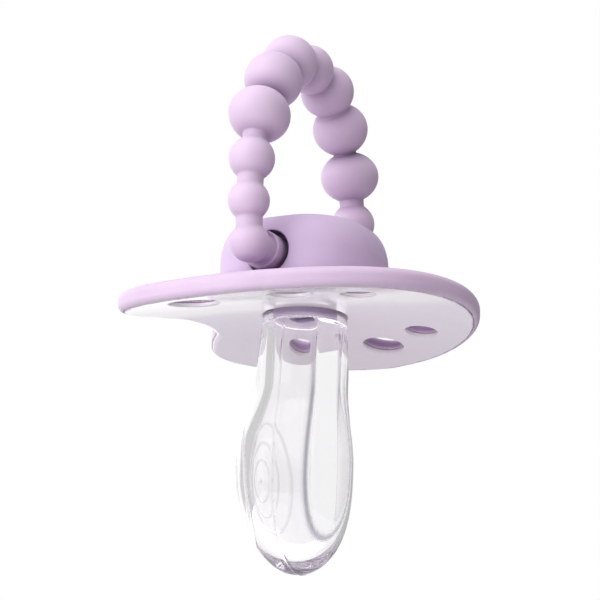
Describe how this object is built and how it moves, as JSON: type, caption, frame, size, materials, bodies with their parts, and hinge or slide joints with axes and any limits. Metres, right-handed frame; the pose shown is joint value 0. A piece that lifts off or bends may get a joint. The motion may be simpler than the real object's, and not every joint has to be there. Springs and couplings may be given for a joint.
{
  "type": "pacifier",
  "caption": "Baby pacifier: curved vented shield with a nose notch, rounded front housing, swinging beaded handle loop and a hollow asymmetric nipple.",
  "frame": {"origin": "middle of the whole object's bounding box. The middle of the shield's face side, on the nipple's axis, is at 0, 1.225, -2.195 mm", "axes": "+Z away from the face towards the handle, +Y towards the nose notch, +X across the face along the handle's hinge"},
  "size_m": [0.043, 0.0436, 0.0722],
  "materials": {
    "shield": "satin lilac",
    "face_skin": "gloss milky white",
    "housing": "satin lilac",
    "axle": "satin lilac",
    "plug": "satin lilac",
    "clear_silicone": "clear glossy silicone",
    "handle": "matte lilac silicone"
  },
  "bodies": {
    "soother": {"shield_plate": "shield", "face_layer": "face_skin", "housing": "housing", "pivot_axle": "axle", "retaining_plug": "plug", "nipple": "clear_silicone"},
    "handle": {"beaded_handle": "handle"}
  },
  "joints": [
    {"name": "handle_swing", "type": "hinge", "parent": "soother", "child": "handle", "pos_m": [0, 0.00193, 0.00386], "axis": [1, 0, 0], "range_deg": [-88, 88]}
  ]
}
